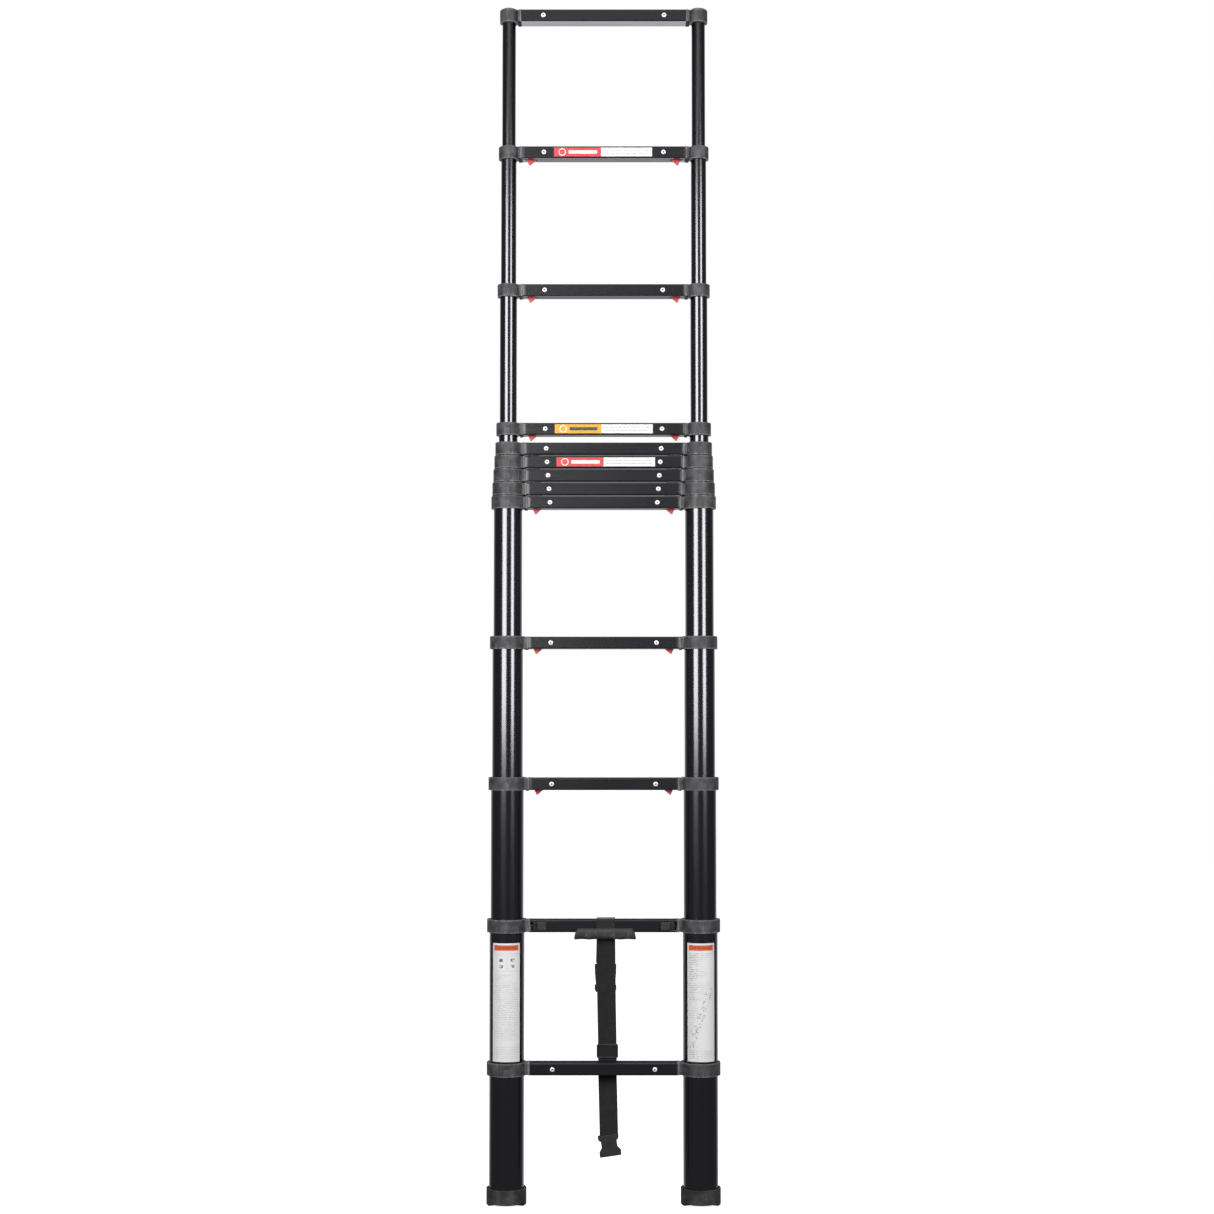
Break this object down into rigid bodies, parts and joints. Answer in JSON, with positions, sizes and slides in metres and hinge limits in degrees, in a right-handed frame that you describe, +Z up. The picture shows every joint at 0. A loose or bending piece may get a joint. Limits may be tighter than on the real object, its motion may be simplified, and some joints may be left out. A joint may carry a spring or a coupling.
{
  "type": "telescoping ladder",
  "caption": "Telescoping ladder standing part open, with nested round tubes, hollow rungs, red release wedges, thumb latches, rubber feet and a carry strap.",
  "frame": {"origin": "on the floor, midway between the two feet", "axes": "+Z up along the tubes, +X along the rungs to the right as seen from the front, +Y to the back, away from a person facing the carry handle"},
  "size_m": [0.4826, 0.0826, 2.4983],
  "materials": {
    "gloss_black_aluminium": "gloss black anodised",
    "satin_black_aluminium": "satin black anodised",
    "dark_grey_nylon": "moulded, matte",
    "red_plastic": "moulded, semi gloss",
    "black_rubber": "matte",
    "steel": "zinc plated",
    "black_webbing": "woven polypropylene"
  },
  "bodies": {
    "section_01": {"tube_01_left": "gloss_black_aluminium", "tube_01_right": "gloss_black_aluminium", "rung_01": "satin_black_aluminium"},
    "section_02": {"tube_02_left": "gloss_black_aluminium", "tube_02_right": "gloss_black_aluminium", "rung_02": "satin_black_aluminium"},
    "section_03": {"tube_03_left": "gloss_black_aluminium", "tube_03_right": "gloss_black_aluminium", "rung_03": "satin_black_aluminium"},
    "section_04": {"tube_04_left": "gloss_black_aluminium", "tube_04_right": "gloss_black_aluminium", "rung_04": "satin_black_aluminium"},
    "section_05": {"tube_05_left": "gloss_black_aluminium", "tube_05_right": "gloss_black_aluminium", "rung_05": "satin_black_aluminium"},
    "section_06": {"tube_06_left": "gloss_black_aluminium", "tube_06_right": "gloss_black_aluminium", "rung_06": "satin_black_aluminium"},
    "section_07": {"tube_07_left": "gloss_black_aluminium", "tube_07_right": "gloss_black_aluminium", "rung_07": "satin_black_aluminium"},
    "section_08": {"tube_08_left": "gloss_black_aluminium", "tube_08_right": "gloss_black_aluminium", "rung_08": "satin_black_aluminium"},
    "section_09": {"tube_09_left": "gloss_black_aluminium", "tube_09_right": "gloss_black_aluminium", "rung_09": "satin_black_aluminium"},
    "section_10": {"tube_10_left": "gloss_black_aluminium", "tube_10_right": "gloss_black_aluminium", "rung_10": "satin_black_aluminium"},
    "section_11": {"tube_11_left": "gloss_black_aluminium", "tube_11_right": "gloss_black_aluminium", "rung_11": "satin_black_aluminium"},
    "base": {"tube_12_left": "gloss_black_aluminium", "tube_12_right": "gloss_black_aluminium", "rung_12": "satin_black_aluminium", "rung_13": "satin_black_aluminium", "collar_13_left": "dark_grey_nylon", "collar_13_right": "dark_grey_nylon", "foot_left": "black_rubber", "foot_right": "black_rubber", "carry_strap": "black_webbing", "carry_handle": "dark_grey_nylon", "strap_adjuster": "dark_grey_nylon", "buckle_socket": "dark_grey_nylon", "buckle_plug": "dark_grey_nylon"},
    "release_02": {"release_02": "red_plastic"},
    "release_03": {"release_03": "red_plastic"},
    "release_04": {"release_04": "red_plastic"},
    "release_05": {"release_05": "red_plastic"},
    "release_06": {"release_06": "red_plastic"},
    "release_07": {"release_07": "red_plastic"},
    "release_08": {"release_08": "red_plastic"},
    "release_09": {"release_09": "red_plastic"},
    "release_10": {"release_10": "red_plastic"},
    "release_11": {"release_11": "red_plastic"},
    "thumb_latch_left": {"thumb_slide_left": "dark_grey_nylon", "lock_pin_left": "steel"},
    "thumb_latch_right": {"thumb_slide_right": "dark_grey_nylon", "lock_pin_right": "steel"}
  },
  "joints": [
    {"name": "slide_01", "type": "slide", "parent": "section_02", "child": "section_01", "axis": [0, 0, 1], "range_m": [-0.26425, 0]},
    {"name": "slide_02", "type": "slide", "parent": "section_03", "child": "section_02", "axis": [0, 0, 1], "range_m": [-0.26425, 0]},
    {"name": "slide_03", "type": "slide", "parent": "section_04", "child": "section_03", "axis": [0, 0, 1], "range_m": [-0.26425, 0]},
    {"name": "slide_04", "type": "slide", "parent": "section_05", "child": "section_04", "axis": [0, 0, 1], "range_m": [-0.0048, 0.25125]},
    {"name": "slide_05", "type": "slide", "parent": "section_06", "child": "section_05", "axis": [0, 0, 1], "range_m": [0, 0.26425]},
    {"name": "slide_06", "type": "slide", "parent": "section_07", "child": "section_06", "axis": [0, 0, 1], "range_m": [0, 0.26425]},
    {"name": "slide_07", "type": "slide", "parent": "section_08", "child": "section_07", "axis": [0, 0, 1], "range_m": [0, 0.26425]},
    {"name": "slide_08", "type": "slide", "parent": "section_09", "child": "section_08", "axis": [0, 0, 1], "range_m": [0, 0.26425]},
    {"name": "slide_09", "type": "slide", "parent": "section_10", "child": "section_09", "axis": [0, 0, 1], "range_m": [-0.26425, 0]},
    {"name": "slide_10", "type": "slide", "parent": "section_11", "child": "section_10", "axis": [0, 0, 1], "range_m": [-0.26425, 0]},
    {"name": "slide_11", "type": "slide", "parent": "base", "child": "section_11", "axis": [0, 0, 1], "range_m": [-0.26425, 0]},
    {"name": "release_02_travel", "type": "slide", "parent": "section_02", "child": "release_02", "axis": [0, 0, 1], "range_m": [0, 0.0104]},
    {"name": "release_03_travel", "type": "slide", "parent": "section_03", "child": "release_03", "axis": [0, 0, 1], "range_m": [0, 0.0104]},
    {"name": "release_04_travel", "type": "slide", "parent": "section_04", "child": "release_04", "axis": [0, 0, 1], "range_m": [0, 0.0104], "stiffness_N_per_m": 150, "springref_m": -0.004},
    {"name": "release_05_travel", "type": "slide", "parent": "section_05", "child": "release_05", "axis": [0, 0, 1], "range_m": [-0.0104, 0]},
    {"name": "release_06_travel", "type": "slide", "parent": "section_06", "child": "release_06", "axis": [0, 0, 1], "range_m": [-0.0104, 0]},
    {"name": "release_07_travel", "type": "slide", "parent": "section_07", "child": "release_07", "axis": [0, 0, 1], "range_m": [-0.0104, 0]},
    {"name": "release_08_travel", "type": "slide", "parent": "section_08", "child": "release_08", "axis": [0, 0, 1], "range_m": [-0.0104, 0]},
    {"name": "release_09_travel", "type": "slide", "parent": "section_09", "child": "release_09", "axis": [0, 0, 1], "range_m": [0, 0.0104]},
    {"name": "release_10_travel", "type": "slide", "parent": "section_10", "child": "release_10", "axis": [0, 0, 1], "range_m": [0, 0.0104]},
    {"name": "release_11_travel", "type": "slide", "parent": "section_11", "child": "release_11", "axis": [0, 0, 1], "range_m": [0, 0.0104]},
    {"name": "thumb_slide_left_travel", "type": "slide", "parent": "base", "child": "thumb_latch_left", "axis": [1, 0, 0], "range_m": [0, 0.0085], "stiffness_N_per_m": 400, "springref_m": -0.004},
    {"name": "thumb_slide_right_travel", "type": "slide", "parent": "base", "child": "thumb_latch_right", "axis": [-1, 0, 0], "range_m": [0, 0.0085], "stiffness_N_per_m": 400, "springref_m": -0.004}
  ],
  "couplings": [
    {"joint": "release_02_travel", "follows": "slide_02", "ratio": -0.039356},
    {"joint": "release_03_travel", "follows": "slide_03", "ratio": -0.039356},
    {"joint": "release_05_travel", "follows": "slide_05", "ratio": -0.039356},
    {"joint": "release_06_travel", "follows": "slide_06", "ratio": -0.039356},
    {"joint": "release_07_travel", "follows": "slide_07", "ratio": -0.039356},
    {"joint": "release_08_travel", "follows": "slide_08", "ratio": -0.039356},
    {"joint": "release_09_travel", "follows": "slide_09", "ratio": -0.039356},
    {"joint": "release_10_travel", "follows": "slide_10", "ratio": -0.039356},
    {"joint": "release_11_travel", "follows": "slide_11", "ratio": -0.039356}
  ]
}
